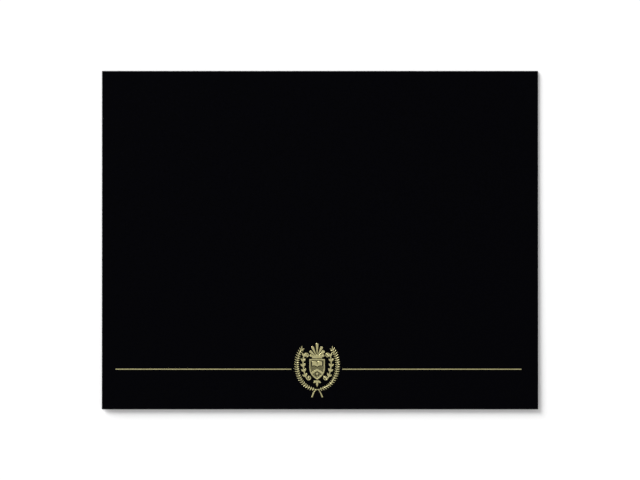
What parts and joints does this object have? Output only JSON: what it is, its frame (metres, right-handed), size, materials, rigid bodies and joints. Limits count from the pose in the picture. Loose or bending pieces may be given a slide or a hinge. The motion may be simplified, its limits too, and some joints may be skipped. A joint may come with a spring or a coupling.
{
  "type": "diploma cover",
  "caption": "Folded black card cover that opens upwards at its top fold, with a gold foil crest and rules near its lower edge and corner slits that hold a certificate.",
  "frame": {"origin": "middle of the closed cover's footprint, on the surface that it lies on", "axes": "+X to the right along the fold, +Y up the front towards the fold, +Z out of the front"},
  "size_m": [0.3048, 0.2364, 0.0026],
  "materials": {
    "card": "matt black card, dyed through, with a very fine tooth",
    "foil": "pale gold stamped foil, satin"
  },
  "bodies": {
    "back_leaf": {"back_cover": "card"},
    "front_leaf": {"front_cover": "card", "foil_wreath": "foil", "foil_shield": "foil", "foil_book": "foil", "foil_star": "foil", "foil_palmette": "foil", "foil_drop": "foil", "foil_scroll_left": "foil", "foil_scroll_right": "foil", "foil_rule_left": "foil", "foil_rule_right": "foil"}
  },
  "joints": [
    {"name": "cover_hinge", "type": "hinge", "parent": "back_leaf", "child": "front_leaf", "pos_m": [0, 0.11825, 0.00075], "axis": [-1, 0, 0], "range_deg": [0, 179.75]}
  ]
}
